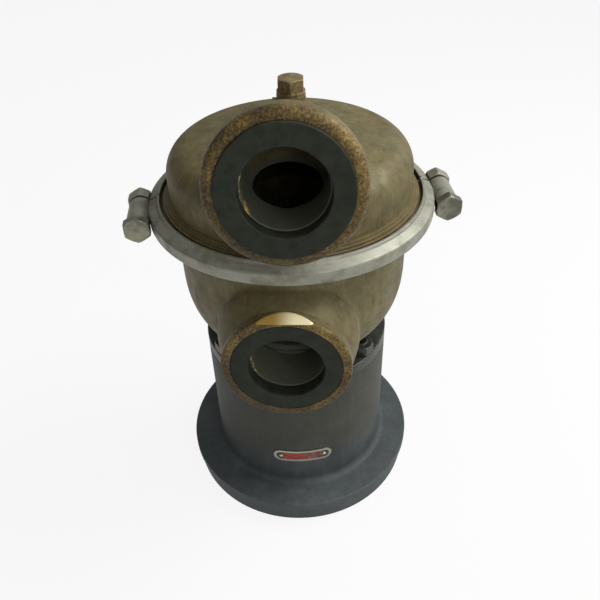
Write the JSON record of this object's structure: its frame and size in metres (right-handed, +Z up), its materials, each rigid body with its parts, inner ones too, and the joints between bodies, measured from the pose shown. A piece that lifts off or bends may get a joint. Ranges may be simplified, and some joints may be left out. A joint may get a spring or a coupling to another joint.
{
  "type": "raw water pump",
  "caption": "Flange mounted centrifugal raw water pump with a bronze bowl and domed suction cover, band clamp, rubber sealed ports and a bearing housing with a splined shaft.",
  "frame": {"origin": "on the shaft axis at the foot of the mounting flange", "axes": "+Z up along the shaft towards the suction cover, -Y towards the two ports"},
  "size_m": [0.2317, 0.2172, 0.3624],
  "materials": {
    "housing_paint": "satin",
    "dark_steel": "satin",
    "bronze": "matte",
    "plug_brass": "satin",
    "copper": "satin",
    "stainless": "satin",
    "seal_rubber": "matte",
    "black_rubber": "matte",
    "plate_metal": "satin",
    "rivet_metal": "satin",
    "bearing_steel": "polished",
    "cage_brass": "satin",
    "spring_steel": "satin",
    "shaft_steel": "satin",
    "carbon": "matte"
  },
  "bodies": {
    "casing": {"bearing_housing": "housing_paint", "foot_ring_front": "housing_paint", "foot_ring_rear": "housing_paint", "foot_studs": "dark_steel", "foot_nuts": "dark_steel", "pump_bowl": "bronze", "outlet_seal_ring": "seal_rubber", "suction_cover": "bronze", "inlet_seal_ring": "seal_rubber", "cover_o_ring": "black_rubber", "priming_plug": "plug_brass", "plug_washer": "copper", "band_clamp_front": "stainless", "band_clamp_rear": "stainless", "band_bolt_left": "stainless", "band_bolt_right": "stainless", "nameplate": "plate_metal", "nameplate_rivets": "rivet_metal", "drive_bearing_outer_ring": "bearing_steel", "top_bearing_outer_ring": "bearing_steel", "housing_circlip": "spring_steel", "oil_seal": "black_rubber", "wear_ring": "plug_brass", "seal_seat": "carbon", "seal_cup": "black_rubber"},
    "rotor": {"shaft": "shaft_steel", "drive_bearing_inner_ring": "bearing_steel", "top_bearing_inner_ring": "bearing_steel", "shaft_circlip": "spring_steel", "slinger": "black_rubber", "seal_head": "stainless", "seal_spring": "stainless", "impeller": "bronze", "impeller_key": "shaft_steel", "impeller_washer": "stainless", "impeller_nut": "stainless"},
    "drive_cage": {"drive_bearing_balls": "bearing_steel", "drive_bearing_cage": "cage_brass"},
    "top_cage": {"top_bearing_balls": "bearing_steel", "top_bearing_cage": "cage_brass"}
  },
  "joints": [
    {"name": "rotor_spin", "type": "hinge", "parent": "casing", "child": "rotor", "pos_m": [0, 0, 0.1], "axis": [0, 0, 1], "continuous": true},
    {"name": "drive_cage_spin", "type": "hinge", "parent": "casing", "child": "drive_cage", "pos_m": [0, 0, 0.0335], "axis": [0, 0, 1], "continuous": true},
    {"name": "top_cage_spin", "type": "hinge", "parent": "casing", "child": "top_cage", "pos_m": [0, 0, 0.1025], "axis": [0, 0, 1], "continuous": true}
  ],
  "couplings": [
    {"joint": "drive_cage_spin", "follows": "rotor_spin", "ratio": 0.384},
    {"joint": "top_cage_spin", "follows": "rotor_spin", "ratio": 0.3963}
  ]
}
